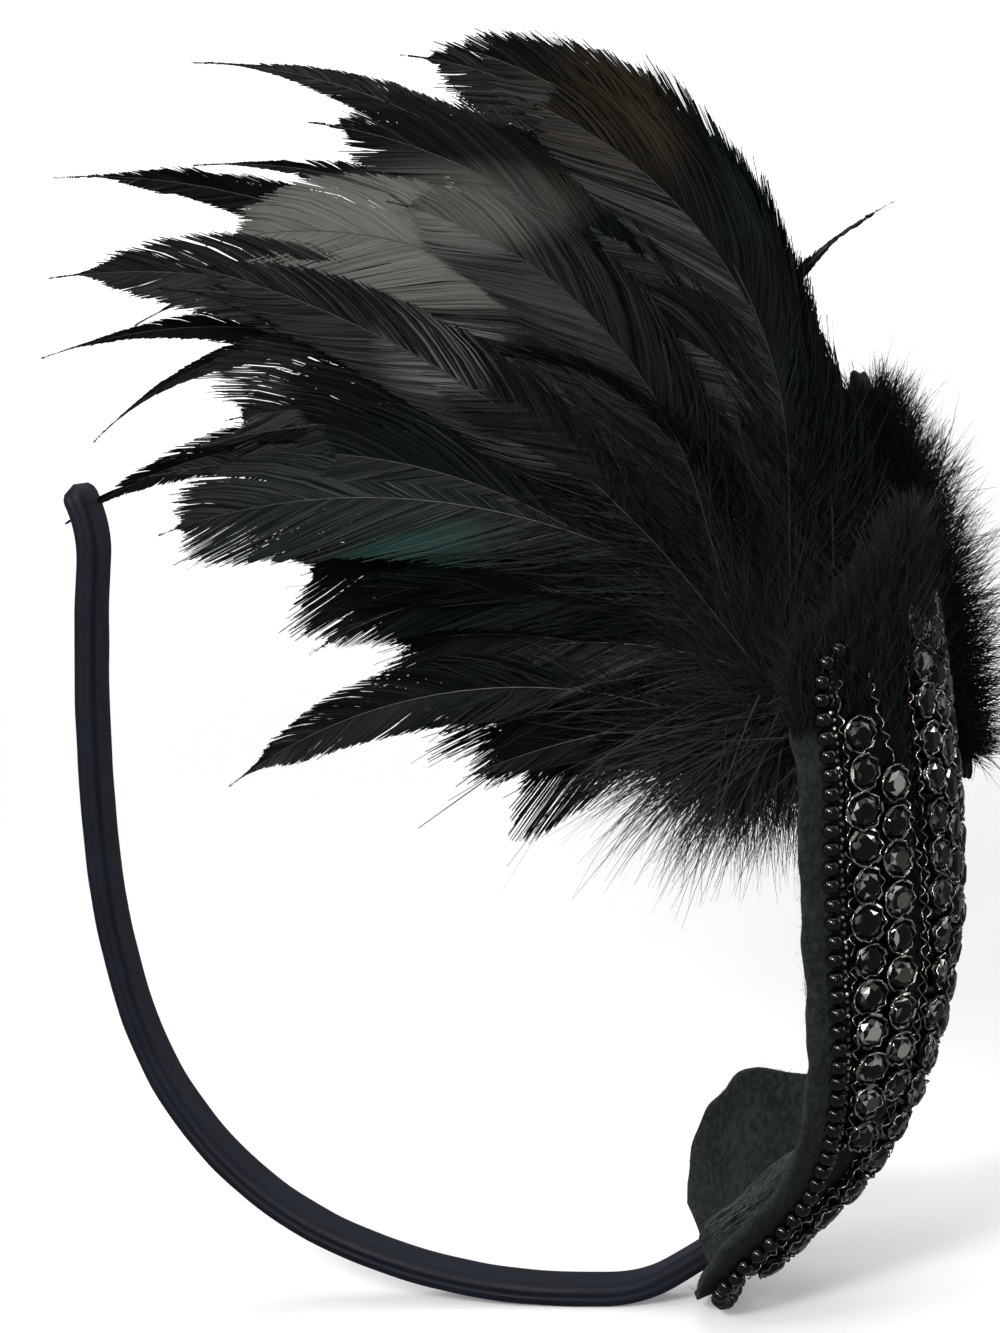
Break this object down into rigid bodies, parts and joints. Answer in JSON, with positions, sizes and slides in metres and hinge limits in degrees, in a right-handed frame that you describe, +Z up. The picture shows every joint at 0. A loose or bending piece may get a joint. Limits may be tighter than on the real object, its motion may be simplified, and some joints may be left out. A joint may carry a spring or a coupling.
{
  "type": "feather headband",
  "caption": "Black headband with a felt-backed ornament of faceted stones edged with beads, and a tall feather plume that droops over the band.",
  "frame": {"origin": "middle of the flat at the lowest point of the band's crown, where the headband stands", "axes": "+X to the ornament's side in the band's plane, +Y away from the viewer across the band, +Z up towards the band's ends and the plume"},
  "size_m": [0.1804, 0.0894, 0.2442],
  "materials": {
    "band_cover": "plastic core wrapped in black woven cloth",
    "felt": "fibrous dark grey felt",
    "stones": "polished black faceted stones in dark metal cups",
    "beads": "polished round black beads",
    "feathers": "black feathers with a green and teal sheen",
    "down": "fluffy black down"
  },
  "bodies": {
    "root": {"headband": "band_cover", "felt_backing": "felt", "centre_stones": "stones", "near_lobe_stones": "stones", "far_lobe_stones": "stones", "bead_edging": "beads", "feather_plume": "feathers", "down_puff": "down"}
  },
  "joints": []
}
